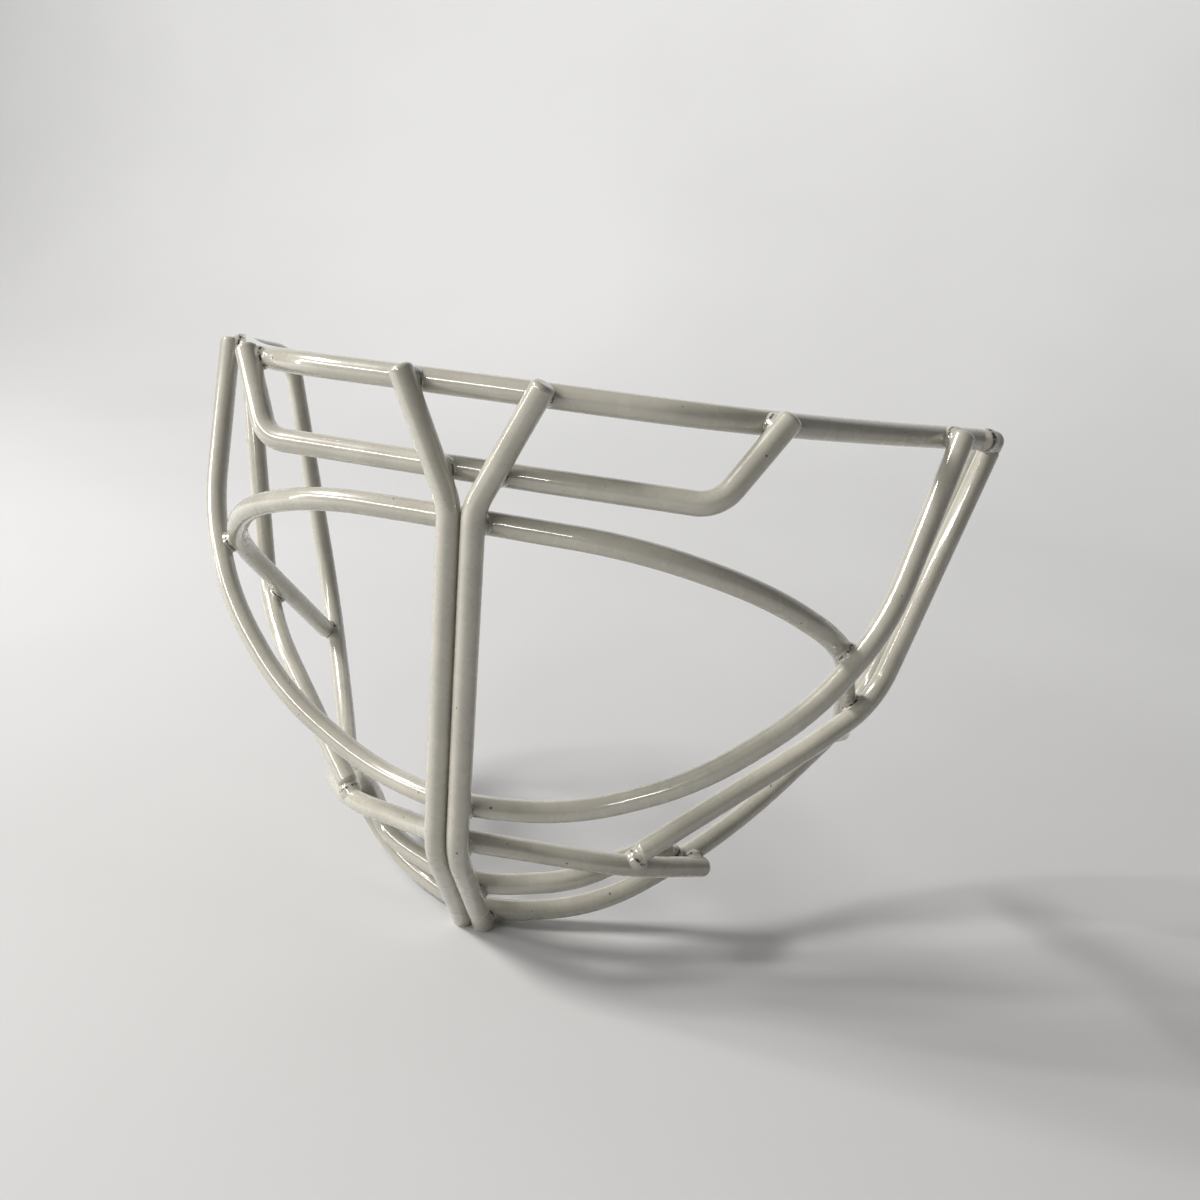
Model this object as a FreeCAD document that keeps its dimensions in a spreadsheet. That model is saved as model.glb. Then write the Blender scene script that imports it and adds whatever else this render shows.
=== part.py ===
import FreeCAD, Part
import math
import os

# Face cage of an ice hockey goalie mask, in the cat-eye style: eleven round steel
# wires, bent and welded to each other. +Z is up as the cage is worn, the front faces
# -Y, X runs from side to side, and the plane x = 0 mirrors the cage. The origin is
# under the middle of the cage, level with its lowest point. Each wire's centre line
# is given by the corners of its runs, as on a bending drawing, and a tangent arc
# rounds each corner.

Vector = FreeCAD.Vector

# Driving sizes in millimetres.
SIZES = {
    "wire_diameter": 5.2,       # steel wire with its coat of paint
    "weld_radius": 3.3,         # reach of a weld bead round the point of contact
    "butt_weld_radius": 3.5,    # reach of a bead where a wire ends on another
    "chin_bar_end_round": 1.8,  # rounding of the chin bar's free ends
    "end_round": 1.2,           # rounding that the paint gives to every other cut end
    "soft_bend": 0.45,          # part of the shorter run that a free bend takes up
    "bead_setback": 0.3,        # from the mirror plane to a bead, to keep the middle slit open
    "block_side": 400,          # cutting block, larger than the cage every way
    "shift_back": -47.68,       # from the bending drawing's zero, the top bar's middle,
    "shift_up": 138.10,         # to the cage's own origin
}

# Corners of each centre line as (x, y, z, bend radius). A radius of 0 means a free
# bend, as large as its two runs allow. A mirrored wire is drawn from the middle
# (x = 0) to its right end; the others are drawn whole, on the right side.
WIRES = {
    "top_bar": [
        (0, 0, 0, 0), (48, 5, -0.5, 0), (72, 35, -2, 0), (99, 71.5, -3, 0)],
    "brow_bar": [
        (0, 1, -17, 0), (50.5, 5.5, -17.5, 8), (61.5, 13.5, 1, 0)],
    "upper_eye_bar": [
        (0, 2, -27.5, 0), (36, 3.5, -28, 0), (61.5, 15.5, -35.5, 0), (78.5, 36, -49, 0),
        (79, 59.5, -66, 11), (79, 89, -87.5, 0)],
    "lower_eye_bar": [
        (0, 6, -94, 0), (26, 15.5, -94, 0), (52.5, 19.5, -81.5, 0), (73.5, 28.5, -63.5, 0),
        (86, 38.5, -44, 0), (95, 58, -1, 0)],
    "chin_bar": [
        (0, 7, -102.5, 0), (13.5, 17, -106.5, 0), (37, 28.5, -110.5, 0), (53, 50, -116.5, 0)],
    "inner_chin_rod": [
        (0, 20.5, -121.5, 0), (25, 26.5, -116.5, 0), (36.5, 39.5, -112, 0), (44, 46.5, -112.5, 0)],
    "perimeter_rod": [
        (0, 28, -133, 0), (28.5, 40, -129, 0), (48.5, 50, -114, 0), (60.5, 69, -106, 0),
        (83, 99.5, -82, 0), (100, 97, -6, 9), (102, 71, -3, 0)],
    "centre_bar_right": [
        (15.5, -3.5, 2.5, 0), (2.7, -3, -24, 13), (2.7, 4, -105, 21), (2.7, 28.5, -137, 0)],
    "side_rod_right": [
        (102, 77.5, -5, 0), (86, 66, -70, 0), (74, 53, -79.5, 0), (39, 31, -107.5, 0)],
}
TWINS = {"centre_bar_right": "centre_bar_left", "side_rod_right": "side_rod_left"}

# Weld beads, one each side: name, the two wires, and the sheet's name for the reach.
WELDS = [
    ("weld_top_bar_centre_bar", "top_bar", "centre_bar_right", "weld_radius"),
    ("weld_brow_bar_centre_bar", "brow_bar", "centre_bar_right", "weld_radius"),
    ("weld_upper_eye_bar_centre_bar", "upper_eye_bar", "centre_bar_right", "weld_radius"),
    ("weld_lower_eye_bar_centre_bar", "lower_eye_bar", "centre_bar_right", "weld_radius"),
    ("weld_chin_bar_centre_bar", "chin_bar", "centre_bar_right", "weld_radius"),
    ("weld_inner_chin_rod_centre_bar", "inner_chin_rod", "centre_bar_right", "weld_radius"),
    ("weld_perimeter_centre_bar", "perimeter_rod", "centre_bar_right", "weld_radius"),
    ("weld_brow_bar_end", "brow_bar", "top_bar", "weld_radius"),
    ("weld_lower_eye_bar_end", "lower_eye_bar", "top_bar", "weld_radius"),
    ("weld_top_bar_end", "top_bar", "perimeter_rod", "butt_weld_radius"),
    ("weld_side_rod_top", "side_rod_right", "perimeter_rod", "butt_weld_radius"),
    ("weld_eye_corner", "upper_eye_bar", "lower_eye_bar", "weld_radius"),
    ("weld_eye_bar_tail_side_rod", "upper_eye_bar", "side_rod_right", "weld_radius"),
    ("weld_eye_bar_tail_end", "upper_eye_bar", "perimeter_rod", "butt_weld_radius"),
    ("weld_side_rod_chin_bar", "side_rod_right", "chin_bar", "butt_weld_radius"),
    ("weld_chin_bar_perimeter", "chin_bar", "perimeter_rod", "weld_radius"),
    ("weld_inner_chin_rod_end", "inner_chin_rod", "perimeter_rod", "butt_weld_radius"),
]

SWEEP_TOLERANCE = 0.005     # part by which a sweep's volume may miss section times length
SAME_PLACE = 0.01           # mm, for telling a point from another and a side from the mirror plane

doc = FreeCAD.newDocument("GoalieMaskCage")
sheet = doc.addObject("Spreadsheet::Sheet", "Sizes")


def fill_sheet():
    """Writes the sizes and the bending table, one cell per number, with aliases."""
    rows = list(SIZES.items())
    for wire, corners in WIRES.items():
        for number, corner in enumerate(corners):
            for letter, value in zip(("x", "y", "z", "bend"), corner):
                rows.append((f"{wire}_{letter}{number}", value))
    for row, (alias, value) in enumerate(rows, start=1):
        sheet.set(f"A{row}", alias)
        sheet.set(f"B{row}", str(value))
        sheet.setAlias(f"B{row}", alias)
    doc.recompute()


def size(alias):
    return float(getattr(sheet, alias))


def corners_of(wire):
    """A wire's corners and bends from the sheet, in the cage's frame, both halves."""
    shift = Vector(0, size("shift_back"), size("shift_up"))
    points = []
    for number in range(len(WIRES[wire])):
        x, y, z, bend = [size(f"{wire}_{letter}{number}") for letter in ("x", "y", "z", "bend")]
        points.append((Vector(x, y, z) + shift, bend))
    if wire in TWINS:
        return points
    left = [(Vector(-p.x, p.y, p.z), bend) for p, bend in reversed(points[1:])]
    return left + points


def centre_line(corners):
    """Straight runs joined by tangent arcs."""
    edges = []
    start = corners[0][0]
    for (before, _), (corner, bend), (after, _) in zip(corners, corners[1:], corners[2:]):
        run_in = corner - before
        run_out = after - corner
        way_in = Vector(run_in).normalize()
        way_out = Vector(run_out).normalize()
        half_turn = way_in.getAngle(way_out) / 2
        reach = size("soft_bend") * min(run_in.Length, run_out.Length)
        if bend:
            reach = min(reach, bend * math.tan(half_turn))
        arc_start = corner - way_in * reach
        arc_end = corner + way_out * reach
        inward = (way_out - way_in).normalize()
        radius = reach / math.tan(half_turn)
        arc_middle = corner + inward * (radius / math.cos(half_turn) - radius)
        edges.append(Part.LineSegment(start, arc_start).toShape())
        edges.append(Part.Arc(arc_start, arc_middle, arc_end).toShape())
        start = arc_end
    edges.append(Part.LineSegment(start, corners[-1][0]).toShape())
    return Part.Wire(edges)


def add_wire(name):
    """A circle swept along the wire's centre line."""
    line = centre_line(corners_of(name))
    spine = doc.addObject("Part::Feature", f"{name}_line")
    spine.Shape = line
    first = line.OrderedEdges[0]
    section = doc.addObject("Part::Circle", f"{name}_section")
    section.setExpression("Radius", "Sizes.wire_diameter / 2")
    heading = first.tangentAt(first.FirstParameter)
    section.Placement = FreeCAD.Placement(
        first.valueAt(first.FirstParameter), FreeCAD.Rotation(Vector(0, 0, 1), heading))
    sweep = doc.addObject("Part::Sweep", f"{name}_sweep")
    sweep.Sections = [section]
    sweep.Spine = (spine, [f"Edge{i + 1}" for i in range(len(line.Edges))])
    sweep.Solid = True
    sweep.Frenet = False
    doc.recompute()
    expected = math.pi * size("wire_diameter") ** 2 / 4 * line.Length
    if abs(sweep.Shape.Volume / expected - 1) > SWEEP_TOLERANCE:
        raise RuntimeError(f"{name}: swept volume {sweep.Shape.Volume:.1f}, expected {expected:.1f}")
    return sweep


def right_half(name):
    """The part of a wire's centre line on the right of the mirror plane."""
    line = centre_line(corners_of(name))
    return Part.Compound([edge for edge in line.Edges if edge.CenterOfMass.x > -SAME_PLACE])


def mirrored(source, name):
    twin = doc.addObject("Part::Mirroring", name)
    twin.Source = source
    twin.Normal = Vector(1, 0, 0)
    twin.Base = Vector(0, 0, 0)
    return twin


def cut(base, tool, name):
    """Base minus tool: the saddle where one wire beds onto another."""
    saddle = doc.addObject("Part::Cut", name)
    saddle.Base = base
    saddle.Tool = tool
    return saddle


def bed_onto_neighbours(name):
    """Cuts a wire's saddles for every wire that it is welded onto."""
    shape = blanks[name]
    for _, upper, lower, _ in WELDS:
        if upper != name:
            continue
        tools = [sweeps[lower]]
        if lower in TWINS and name not in TWINS:
            tools.append(twin_sweeps[lower])
        for tool in tools:
            shape = cut(shape, tool, f"{name}_on_{tool.Name}")
    return shape


def round_ends(name, alias):
    """Rounds the rims of a wire's two cut ends."""
    base = sweeps[name]
    radius = size(alias)
    corners = corners_of(name)
    ends = (corners[0][0], corners[-1][0])
    rounded = doc.addObject("Part::Fillet", f"{name}_rounded")
    rounded.Base = base
    rounded.Edges = [
        (number, radius, radius)
        for number, edge in enumerate(base.Shape.Edges, start=1)
        if edge.isClosed()
        and min(edge.CenterOfMass.distanceToPoint(end) for end in ends) < SAME_PLACE]
    if len(rounded.Edges) != len(ends):
        raise RuntimeError(f"{name}: {len(rounded.Edges)} rims found, a wire has two")
    return rounded


def near(shape, point, reach):
    """Whether a shape comes within reach of a point."""
    return shape.distToShape(Part.Vertex(point))[0] < reach


def left_of_the_slit():
    """A block over the cage's left side, which ends a little right of the mirror plane."""
    block = doc.addObject("Part::Box", "left_side")
    for edge in ("Length", "Width", "Height"):
        block.setExpression(edge, "Sizes.block_side")
    side = size("block_side")
    block.Placement.Base = Vector(size("bead_setback") - side, -side / 2, -side / 4)
    return block


def add_weld(node, upper, lower, reach):
    """A right weld bead and its left twin: a ball at the point of contact, less what it meets.

    The ball's poles point at the two wires' middles, so both are cut away. A bead
    also stops at any other wire, at the beads made before it and at the slit."""
    _, pairs, _ = right_half(upper).distToShape(right_half(lower))
    on_upper, on_lower = pairs[0]
    centre = (on_upper + on_lower) / 2
    ball = doc.addObject("Part::Sphere", f"{node}_ball")
    ball.setExpression("Radius", f"Sizes.{reach}")
    ball.Placement = FreeCAD.Placement(
        centre, FreeCAD.Rotation(Vector(0, 0, 1), on_lower - on_upper))
    tools = [sweeps[upper], sweeps[lower]]
    for sweep in sweeps.values():
        if sweep not in tools and near(sweep.Shape, centre, size(reach)):
            tools.append(sweep)
    tools += [bead for bead in beads if near(bead.Shape, centre, size(reach))]
    if centre.x < 2 * size(reach):
        tools.append(left_side)
    bead = ball
    for number, tool in enumerate(tools):
        bead = cut(bead, tool, f"{node}_cut{number}")
    doc.recompute()
    beads.append(bead)
    return {f"{node}_right": bead, f"{node}_left": mirrored(bead, f"{node}_left")}


fill_sheet()
sweeps = {name: add_wire(name) for name in WIRES}
sweeps["chin_bar"] = round_ends("chin_bar", "chin_bar_end_round")
twin_sweeps = {name: mirrored(sweeps[name], f"{twin}_sweep") for name, twin in TWINS.items()}
blanks = {name: round_ends(name, "end_round") for name in WIRES if name != "chin_bar"}
blanks["chin_bar"] = sweeps["chin_bar"]
finished = {name: bed_onto_neighbours(name) for name in WIRES}
left_side = left_of_the_slit()
doc.recompute()
beads = []
welds = {}
for weld in WELDS:
    welds.update(add_weld(*weld))
twins = {twin: mirrored(finished[name], twin) for name, twin in TWINS.items()}
doc.recompute()

nodes = []
for collection in (finished, twins, welds):
    for node, shape in collection.items():
        shape.Label = node
        nodes.append(shape)

for item in doc.Objects:
    if "Invalid" in item.State or "Error" in item.State:
        raise RuntimeError(f"{item.Name} did not compute: {item.State}")
for node in nodes:
    solids = len(node.Shape.Solids)
    if node.Shape.isNull() or not node.Shape.isValid() or solids != 1:
        raise RuntimeError(f"{node.Label} is not sound: {solids} solids")

os.makedirs("parts", exist_ok=True)
for node in nodes:
    node.Shape.exportStep(f"parts/{node.Label}.step")

whole = Part.Compound([node.Shape for node in nodes]).optimalBoundingBox()
print(f"{len(nodes)} sub-parts, {whole.XLength:.1f} x {whole.YLength:.1f} x {whole.ZLength:.1f} mm")
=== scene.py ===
import math

import bmesh
import bpy
from mathutils import Matrix, Vector, noise
from mathutils.bvhtree import BVHTree


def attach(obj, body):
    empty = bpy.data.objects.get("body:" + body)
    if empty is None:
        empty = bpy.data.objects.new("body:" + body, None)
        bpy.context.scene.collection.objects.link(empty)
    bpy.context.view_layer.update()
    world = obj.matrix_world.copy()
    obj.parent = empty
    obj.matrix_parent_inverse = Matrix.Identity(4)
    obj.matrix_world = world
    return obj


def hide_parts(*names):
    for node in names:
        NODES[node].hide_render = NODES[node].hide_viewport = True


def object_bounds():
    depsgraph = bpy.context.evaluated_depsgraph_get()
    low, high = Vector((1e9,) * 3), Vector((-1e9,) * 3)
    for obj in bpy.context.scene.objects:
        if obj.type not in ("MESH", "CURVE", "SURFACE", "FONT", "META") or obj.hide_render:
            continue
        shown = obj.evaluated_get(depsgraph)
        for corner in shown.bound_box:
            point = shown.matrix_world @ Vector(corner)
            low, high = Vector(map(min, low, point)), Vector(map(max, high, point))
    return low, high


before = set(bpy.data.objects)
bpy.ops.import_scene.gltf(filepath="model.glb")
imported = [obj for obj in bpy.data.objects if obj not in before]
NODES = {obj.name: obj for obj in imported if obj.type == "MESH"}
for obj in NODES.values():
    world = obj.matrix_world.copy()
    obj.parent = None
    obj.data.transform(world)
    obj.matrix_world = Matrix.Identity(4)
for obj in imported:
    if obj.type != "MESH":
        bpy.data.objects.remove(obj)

# White painted wire face cage of a goalie mask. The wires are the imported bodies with
# a paint material. Each weld is a fillet built here from the wires that meet there.
# Lengths are in metres, unless a name or comment says otherwise.
CAD_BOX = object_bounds()
WELD_NODES = sorted(name for name in NODES if name.startswith("weld_"))
WIRE_NODES = sorted(name for name in NODES if not name.startswith("weld_"))
MM = 0.001

# Weld fillets
SAME_POINT = 1e-7           # vertices nearer than this are one
CHUNK_HALF = 5.2 * MM       # half side of the cube of wire that a fillet grows on
REACH = 3.0 * MM            # a wire this near to a bead's middle is part of the weld
BEAD_SHRINK = 0.84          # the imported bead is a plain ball, larger than the fillet
VOXEL = 0.27 * MM           # cell size of the remesh that makes bead and wires one skin
SMOOTHING = 14              # how many times that skin is smoothed
SMOOTH_FACTOR = 0.5         # how far a vertex goes towards its neighbours each time
BUTT_SMOOTHING = 26         # a wire's end is flowed further into the wire that it meets
BUTT_WELDS = ("eye_bar_tail_end", "side_rod_chin_bar", "inner_chin_rod_end")
KEPT_FACES = 0.45           # share of the faces left after the decimation
PROUD = 0.04 * MM           # a fillet's skin counts as bead beyond this height
SINK = 0.14 * MM            # how far the rest of its skin is drawn into the wire
RIPPLE = 0.11 * MM          # height of the unevenness of the bead's skin
RIPPLE_SIZE = 1.6 * MM      # its length
CREASE_WIDTH = 0.9 * MM     # height difference over which a crease fades out

# Paint colours and gloss
DARK_PAINT = (0.43, 0.410, 0.345)
LIGHT_PAINT = (0.49, 0.468, 0.398)
PIT_COLOUR = (0.13, 0.12, 0.10)
# painted shade: the darker colour laid into the weld beads' creases, as if shade fell there
CREASE_SHADE_COLOUR = (0.24, 0.225, 0.19)
CRACK_COLOUR = (0.035, 0.033, 0.035)
PAINT_IOR = 1.5
ROUGHNESS = (0.2, 0.32)     # from the smoothest paint to the dullest
COAT_WEIGHT = 1.0
COAT_ROUGHNESS = 0.05
COAT_IOR = 1.7

# Noise patterns in the paint: scale and detail
MOTTLE = (140, 4)
PITS = (620, 1)
CRACKS = (900, 4)
SHEEN = (260, 3)
WAVES = (300, 2)

# Between which two values of its input each ramp goes from its first colour to its last
NOISE_SPAN = (0.3, 0.7)
PIT_SPAN = (0.195, 0.215)
CRACK_SPAN = (0.50, 0.53)
# the painted crease shade fades in over this span of crease depth
CREASE_SHADE_SPAN = (0.1, 0.9)
NEAR_CREASE_SPAN = (0.3, 0.65)
CREASE_SHADE_SHARE = 0.55          # how much of the paint's colour the painted crease shade hides at the bottom of a crease

# Bumps in the paint: strength and height
WAVE_BUMP = (0.35, 0.12 * MM)
PIT_BUMP = (0.5, 0.05 * MM)

# Floor: its rise towards the backdrop as (y, height) pairs, and its paper
FLOOR_PROFILE = (
    (-1.6, 0.0), (0.5, 0.0), (0.75, 0.03), (0.95, 0.13), (1.06, 0.32), (1.1, 0.6), (1.1, 1.8))
FLOOR_HALF_WIDTH = 2.2
FLOOR_SUBDIVISIONS = 3
FLOOR_GREYS = (0.57, 0.61)
FLOOR_PATTERN = (3, 3)      # scale and detail
FLOOR_ROUGHNESS = 0.9

# Lamps aimed at the cage: name, place from its middle, width, height, watts
LAMPS = (
    ("window", (-0.95, -0.30, 0.85), 0.40, 0.22, 17),
    ("strip_across", (-0.55, -0.68, 0.36), 1.0, 0.06, 4.2),
    ("strip_upright", (-0.93, -0.32, 0.20), 0.05, 0.38, 1.3),
)
LAMP_COLOUR = (1.0, 0.985, 0.96)

# The lamp on the backdrop
BACKDROP_PLACE = Vector((0, 0.25, 1.1))
BACKDROP_AIM = Vector((0, 1, -0.25))
BACKDROP_WIDTH = 3.4
BACKDROP_HEIGHT = 0.9
BACKDROP_WATTS = 17
BACKDROP_COLOUR = (1.0, 1.0, 1.0)

# The dim light from all round
WORLD_COLOUR = (0.96, 0.97, 1.0)
WORLD_STRENGTH = 0.10

# The camera, as angles about the cage and a place in its frame
CAMERA_PLACE = Vector((0.08639, -0.26243, 0.15602))
CAMERA_AZIMUTH = math.radians(15.79)
CAMERA_DROP = math.radians(15.45)
CAMERA_ROLL = math.radians(6.22)
CAMERA_SHIFT = (0.0202, 0.0158)
CLIP_START = 0.01
LENS = 34.1                 # focal length in millimetres


def material(name):
    """A material with nothing in it, and its node tree."""
    made = bpy.data.materials.new(name)
    made.use_nodes = True
    made.node_tree.nodes.clear()
    return made, made.node_tree


def principled(tree):
    """A principled shader that is the material's surface."""
    shader = tree.nodes.new("ShaderNodeBsdfPrincipled")
    output = tree.nodes.new("ShaderNodeOutputMaterial")
    tree.links.new(shader.outputs["BSDF"], output.inputs["Surface"])
    return shader


def noise_node(tree, pattern):
    """A noise over the object's own coordinates."""
    place = tree.nodes.new("ShaderNodeTexCoord").outputs["Object"]
    made = tree.nodes.new("ShaderNodeTexNoise")
    scale, detail = pattern
    made.inputs["Scale"].default_value = scale
    made.inputs["Detail"].default_value = detail
    tree.links.new(place, made.inputs["Vector"])
    return made.outputs["Fac"]


def grey(value):
    return (value, value, value)


def ramp(tree, factor, span, first, last):
    """The first colour below the span, the last above it, and a blend between."""
    made = tree.nodes.new("ShaderNodeValToRGB")
    for element, place, colour in zip(made.color_ramp.elements, span, (first, last)):
        element.position = place
        element.color = (*colour, 1)
    tree.links.new(factor, made.inputs["Fac"])
    return made.outputs["Color"]


def mix(tree, factor, paint, colour):
    """The paint so far, with a plain colour over it where the factor is 1."""
    made = tree.nodes.new("ShaderNodeMix")
    made.data_type = "RGBA"
    tree.links.new(factor, made.inputs["Factor"])
    tree.links.new(paint, made.inputs["A"])
    made.inputs["B"].default_value = (*colour, 1)
    return made.outputs["Result"]


def product(tree, first, second):
    made = tree.nodes.new("ShaderNodeMath")
    made.operation = "MULTIPLY"
    tree.links.new(first, made.inputs[0])
    tree.links.new(second, made.inputs[1])
    return made.outputs["Value"]


def bump(tree, height, size):
    """A bump node of the size's strength and height."""
    made = tree.nodes.new("ShaderNodeBump")
    strength, distance = size
    made.inputs["Strength"].default_value = strength
    made.inputs["Distance"].default_value = distance
    tree.links.new(height, made.inputs["Height"])
    return made


def crease_shade_and_cracks(tree, paint):
    """Painted shade that darkens the paint towards each crease where a bead meets its wires, and
    cracks there.
    """
    crevice = tree.nodes.new("ShaderNodeAttribute")
    crevice.attribute_name = "crevice"
    depth = crevice.outputs["Fac"]
    # painted shade: the paint darkens towards the deepest part of each crease
    crease_shade = ramp(tree, depth, CREASE_SHADE_SPAN, grey(0), grey(CREASE_SHADE_SHARE))
    paint = mix(tree, crease_shade, paint, CREASE_SHADE_COLOUR)
    near_crease = ramp(tree, depth, NEAR_CREASE_SPAN, grey(0), grey(1))
    cracks = ramp(tree, noise_node(tree, CRACKS), CRACK_SPAN, grey(1), grey(0))
    return mix(tree, product(tree, cracks, near_crease), paint, CRACK_COLOUR)


def white_paint(name, bead):
    """Thick gloss enamel: warm white, faintly uneven, a few pits. A bead's has painted shade in
    its creases, and cracks too.
    """
    made, tree = material(name)
    shader = principled(tree)
    shader.inputs["IOR"].default_value = PAINT_IOR
    shader.inputs["Coat Weight"].default_value = COAT_WEIGHT
    shader.inputs["Coat Roughness"].default_value = COAT_ROUGHNESS
    shader.inputs["Coat IOR"].default_value = COAT_IOR

    colour = ramp(tree, noise_node(tree, MOTTLE), NOISE_SPAN, DARK_PAINT, LIGHT_PAINT)
    pits = ramp(tree, noise_node(tree, PITS), PIT_SPAN, grey(1), grey(0))
    colour = mix(tree, pits, colour, PIT_COLOUR)
    if bead:
        colour = crease_shade_and_cracks(tree, colour)
    tree.links.new(colour, shader.inputs["Base Color"])

    smooth, dull = ROUGHNESS
    roughness = ramp(tree, noise_node(tree, SHEEN), NOISE_SPAN, grey(smooth), grey(dull))
    tree.links.new(roughness, shader.inputs["Roughness"])

    waves = bump(tree, noise_node(tree, WAVES), WAVE_BUMP)
    pitted = bump(tree, pits, PIT_BUMP)
    tree.links.new(waves.outputs["Normal"], pitted.inputs["Normal"])
    tree.links.new(pitted.outputs["Normal"], shader.inputs["Normal"])
    return made


def joined_mesh(source):
    """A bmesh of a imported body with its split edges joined, so that it is closed."""
    made = bmesh.new()
    made.from_mesh(source.data)
    bmesh.ops.remove_doubles(made, verts=made.verts, dist=SAME_POINT)
    return made


def clip_to_cube(made, centre):
    """Cuts away what lies outside a cube about centre, and closes the cuts."""
    for axis in range(3):
        for way in (1, -1):
            normal = Vector()
            normal[axis] = way
            geometry = made.verts[:] + made.edges[:] + made.faces[:]
            bmesh.ops.bisect_plane(
                made, geom=geometry, plane_co=centre + normal * CHUNK_HALF, plane_no=normal,
                clear_outer=True)
            rim = [edge for edge in made.edges if edge.is_boundary]
            bmesh.ops.holes_fill(made, edges=rim, sides=0)


def as_object(name, made):
    """An object in the scene from a bmesh, which it frees."""
    mesh = bpy.data.meshes.new(name)
    made.to_mesh(mesh)
    made.free()
    thing = bpy.data.objects.new(name, mesh)
    bpy.context.scene.collection.objects.link(thing)
    return thing


def shade_smooth(thing):
    for polygon in thing.data.polygons:
        polygon.use_smooth = True


def apply_modifier(thing, kind, **settings):
    """Puts one modifier's result into the object's mesh."""
    modifier = thing.modifiers.new(kind, kind)
    for key, value in settings.items():
        setattr(modifier, key, value)
    depsgraph = bpy.context.evaluated_depsgraph_get()
    changed = bpy.data.meshes.new_from_object(thing.evaluated_get(depsgraph))
    thing.modifiers.remove(modifier)
    thing.data = changed


def surface_tree(source):
    """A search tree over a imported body's surface."""
    whole = joined_mesh(source)
    tree = BVHTree.FromBMesh(whole)
    whole.free()
    return tree


WIRE_TREES = {name: surface_tree(NODES[name]) for name in WIRE_NODES}


def heights_over(point, trees):
    """How far a point stands outside each wire near it, smallest first."""
    heights = []
    for tree in trees:
        surface, normal, _, _ = tree.find_nearest(point)
        heights.append((point - surface).dot(normal))
    return sorted(heights)


def crease(point, trees):
    """From 1 where a bead's point is as near to one wire as to the next, to 0 away from there."""
    nearest, next_nearest = heights_over(point, trees)[:2]
    if nearest < PROUD:
        return 0.0
    return max(0.0, 1 - (next_nearest - nearest) / CREASE_WIDTH)


def smoothing_of(node):
    """How many times a fillet is smoothed."""
    return BUTT_SMOOTHING if any(place in node for place in BUTT_WELDS) else SMOOTHING


def settle(vertex, trees):
    """Ripples a fillet's proud skin, and sinks the rest, so that it shares no skin with a wire."""
    height = heights_over(vertex.co, trees)[0]
    if height > PROUD:
        vertex.co += vertex.normal * noise.noise(vertex.co / RIPPLE_SIZE) * RIPPLE
    vertex.co -= vertex.normal * SINK * min(1.0, max(0.0, 1 - height / SINK))


def middle_of(made):
    """The middle of a bmesh's box."""
    low = Vector(min(v.co[axis] for v in made.verts) for axis in range(3))
    high = Vector(max(v.co[axis] for v in made.verts) for axis in range(3))
    return (low + high) / 2


def add_chunk(bead, wire, centre):
    """Adds the stretch of a wire that is near centre to a bead's bmesh."""
    chunk = joined_mesh(NODES[wire])
    clip_to_cube(chunk, centre)
    scratch = bpy.data.meshes.new("scratch")
    chunk.to_mesh(scratch)
    chunk.free()
    bead.from_mesh(scratch)


def weld_fillet(node):
    """A bead, flowed into the wires that it joins."""
    bead = joined_mesh(NODES[node])
    centre = middle_of(bead)
    wires = [name for name in WIRE_NODES if WIRE_TREES[name].find_nearest(centre)[3] < REACH]
    if len(wires) < 2:
        raise RuntimeError(f"{node} joins {wires}, and a weld needs two wires")
    for vertex in bead.verts:
        vertex.co = centre + (vertex.co - centre) * BEAD_SHRINK
    for wire in wires:
        add_chunk(bead, wire, centre)
    fillet = as_object(node.replace("weld_", "fillet_"), bead)
    apply_modifier(fillet, "REMESH", mode="VOXEL", voxel_size=VOXEL)
    apply_modifier(fillet, "SMOOTH", factor=SMOOTH_FACTOR, iterations=smoothing_of(node))
    trees = [WIRE_TREES[name] for name in wires]
    for vertex in fillet.data.vertices:
        settle(vertex, trees)
    apply_modifier(fillet, "DECIMATE", ratio=KEPT_FACES)
    crevice = fillet.data.attributes.new("crevice", "FLOAT", "POINT")
    for number, vertex in enumerate(fillet.data.vertices):
        crevice.data[number].value = crease(vertex.co, trees)
    shade_smooth(fillet)
    return fillet


def paint_all(thing, paint):
    """Gives a thing one material and no other."""
    thing.data.materials.clear()
    thing.data.materials.append(paint)


def add_floor(lowest):
    """A pale floor that curves up into a backdrop behind the cage."""
    made = bmesh.new()
    rows = []
    for y, z in FLOOR_PROFILE:
        ends = (-FLOOR_HALF_WIDTH, FLOOR_HALF_WIDTH)
        rows.append([made.verts.new((x, y, lowest + z)) for x in ends])
    for near_row, far_row in zip(rows, rows[1:]):
        made.faces.new((near_row[0], near_row[1], far_row[1], far_row[0]))
    floor = as_object("floor", made)
    shade_smooth(floor)
    subdivision = floor.modifiers.new("curve", "SUBSURF")
    subdivision.render_levels = FLOOR_SUBDIVISIONS

    paper, tree = material("floor_paper")
    shader = principled(tree)
    shader.inputs["Roughness"].default_value = FLOOR_ROUGHNESS
    dark, light = FLOOR_GREYS
    colour = ramp(tree, noise_node(tree, FLOOR_PATTERN), NOISE_SPAN, grey(dark), grey(light))
    tree.links.new(colour, shader.inputs["Base Color"])
    floor.data.materials.append(paper)


def add_lamp(name, place, target, width, height, watts, colour):
    """A rectangle of light that the camera doesn't see."""
    data = bpy.data.lights.new(name, "AREA")
    data.shape = "RECTANGLE"
    data.size = width
    data.size_y = height
    data.energy = watts
    data.color = colour
    lamp = bpy.data.objects.new(name, data)
    lamp.location = place
    lamp.visible_camera = False
    lamp.rotation_euler = (target - place).to_track_quat("-Z", "Y").to_euler()
    bpy.context.scene.collection.objects.link(lamp)


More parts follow.
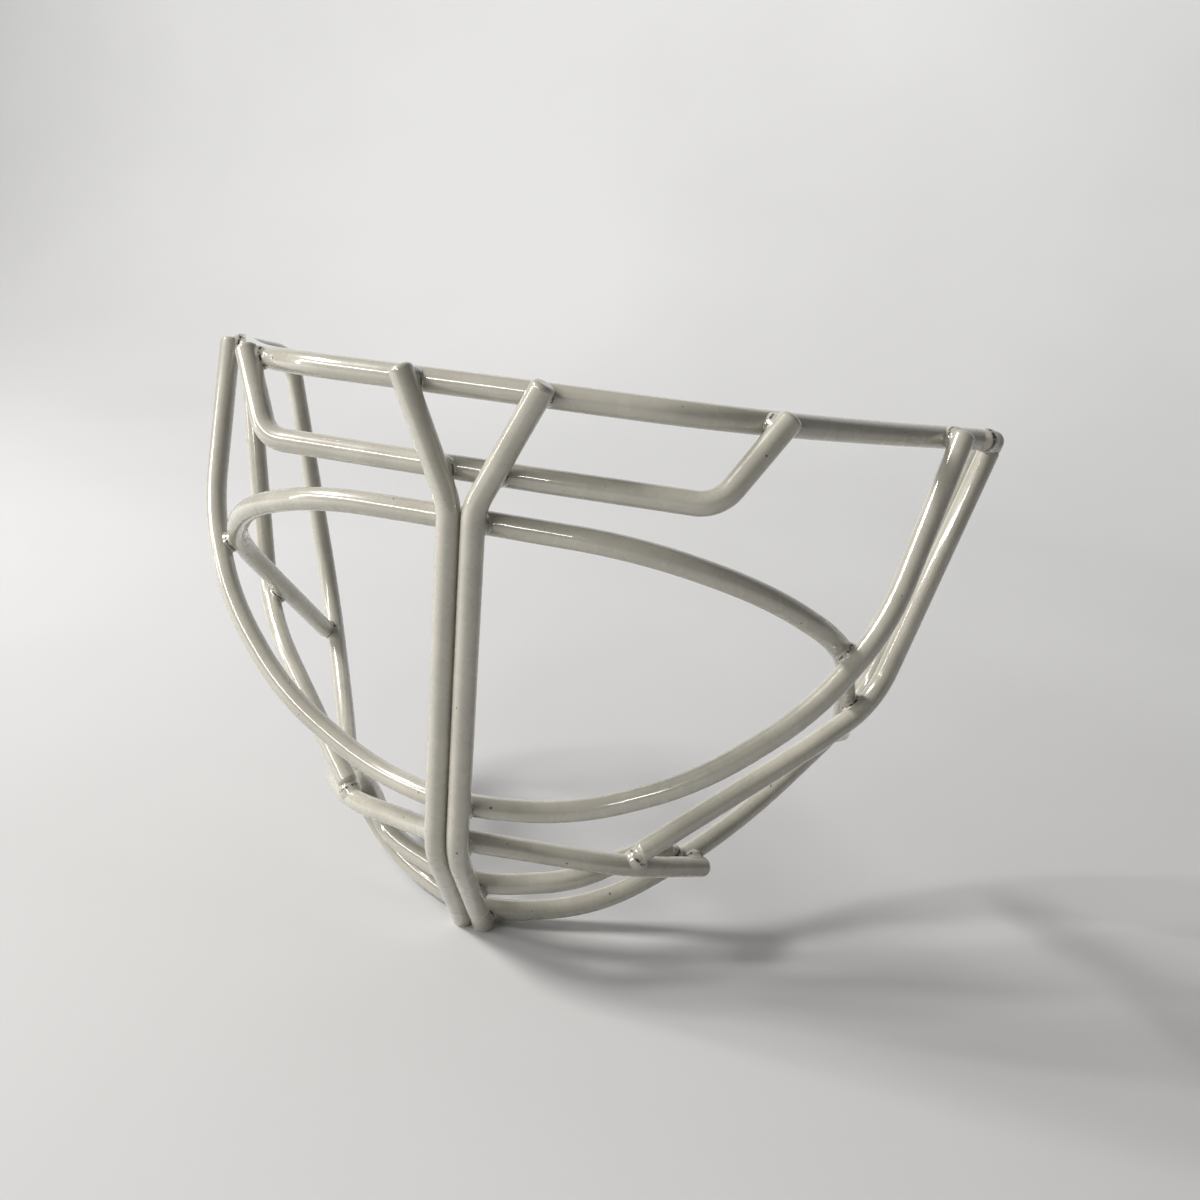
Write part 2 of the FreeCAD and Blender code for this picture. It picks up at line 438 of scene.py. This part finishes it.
def add_lights(middle):
    """A window at the upper left, two thin strips for the gloss, and a lamp on the backdrop."""
    for name, offset, width, height, watts in LAMPS:
        add_lamp(name, middle + Vector(offset), middle, width, height, watts, LAMP_COLOUR)
    place = middle + BACKDROP_PLACE
    add_lamp(
        "backdrop", place, place + BACKDROP_AIM, BACKDROP_WIDTH, BACKDROP_HEIGHT,
        BACKDROP_WATTS, BACKDROP_COLOUR)
    world = bpy.data.worlds.new("studio")
    world.use_nodes = True
    background = world.node_tree.nodes["Background"]
    background.inputs["Color"].default_value = (*WORLD_COLOUR, 1)
    background.inputs["Strength"].default_value = WORLD_STRENGTH
    bpy.context.scene.world = world
    bpy.context.scene.view_settings.view_transform = "Standard"


def add_camera():
    """Looks along the azimuth and down by the drop, then is rolled about its own axis."""
    right = Vector((math.cos(CAMERA_AZIMUTH), math.sin(CAMERA_AZIMUTH), 0))
    ahead = Vector((
        -math.sin(CAMERA_AZIMUTH) * math.cos(CAMERA_DROP),
        math.cos(CAMERA_AZIMUTH) * math.cos(CAMERA_DROP),
        -math.sin(CAMERA_DROP)))
    up = right.cross(ahead)
    turned_right = right * math.cos(CAMERA_ROLL) + up * math.sin(CAMERA_ROLL)
    turned_up = up * math.cos(CAMERA_ROLL) - right * math.sin(CAMERA_ROLL)
    data = bpy.data.cameras.new("camera")
    data.lens = LENS
    data.clip_start = CLIP_START
    data.shift_x, data.shift_y = CAMERA_SHIFT
    camera = bpy.data.objects.new("camera", data)
    turn = Matrix((turned_right, turned_up, -ahead)).transposed().to_4x4()
    camera.matrix_world = Matrix.Translation(CAMERA_PLACE) @ turn
    bpy.context.scene.collection.objects.link(camera)
    bpy.context.scene.camera = camera


wire_paint = white_paint("wire_paint", bead=False)
weld_paint = white_paint("weld_paint", bead=True)
for node in WIRE_NODES:
    paint_all(NODES[node], wire_paint)

for node in WELD_NODES:
    fillet = weld_fillet(node)
    paint_all(fillet, weld_paint)
    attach(fillet, "root")
    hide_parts(node)

box_low, box_high = (Vector(corner) for corner in CAD_BOX)
add_floor(box_low.z)
add_lights((box_low + box_high) / 2)
add_camera()
